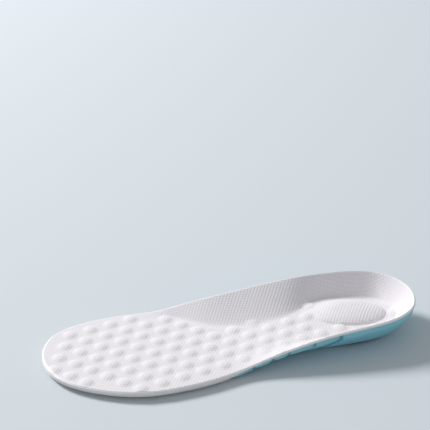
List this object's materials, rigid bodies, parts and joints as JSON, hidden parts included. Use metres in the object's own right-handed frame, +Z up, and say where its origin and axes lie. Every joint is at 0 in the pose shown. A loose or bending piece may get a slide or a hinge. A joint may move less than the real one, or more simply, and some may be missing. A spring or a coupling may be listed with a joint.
{
  "type": "cushioned insole",
  "caption": "Left shoe insole with a knitted cover, cupped heel and arch shell, raised heel cushion, gel heel pad and forefoot grip pad; it bends at the ball of the foot.",
  "frame": {"origin": "on the ground under the middle of the insole's box", "axes": "+X from heel to toe, +Y to the outer (little-toe) side, +Z up out of the foot side"},
  "size_m": [0.25, 0.0917, 0.0236],
  "materials": {
    "knit_cover": "matte white knit with embossed round bumps and a fine ribbed mesh",
    "white_foam": "matte white foam",
    "blue_polyurethane": "satin light-blue moulded polyurethane",
    "blue_gel": "satin dark-blue gel with a honeycomb",
    "white_base": "matte warm-white moulded foam with shallow trim lines",
    "white_grip": "satin white rubber with quilted diamonds"
  },
  "bodies": {
    "rearfoot": {"top_cover_rear": "knit_cover", "cushion_layer_rear": "white_foam", "heel_cushion_dome": "white_foam", "heel_arch_shell": "blue_polyurethane", "heel_gel_pad": "blue_gel", "forefoot_base_rear": "white_base", "grip_pad_rear": "white_grip"},
    "forefoot": {"top_cover_front": "knit_cover", "cushion_layer_front": "white_foam", "forefoot_base_front": "white_base", "grip_pad_front": "white_grip"}
  },
  "joints": [
    {"name": "ball_flex", "type": "hinge", "parent": "rearfoot", "child": "forefoot", "pos_m": [0.05, 0, 0.0066], "axis": [0, -1, 0], "range_deg": [0, 55], "stiffness_Nm_per_rad": 0.05}
  ]
}
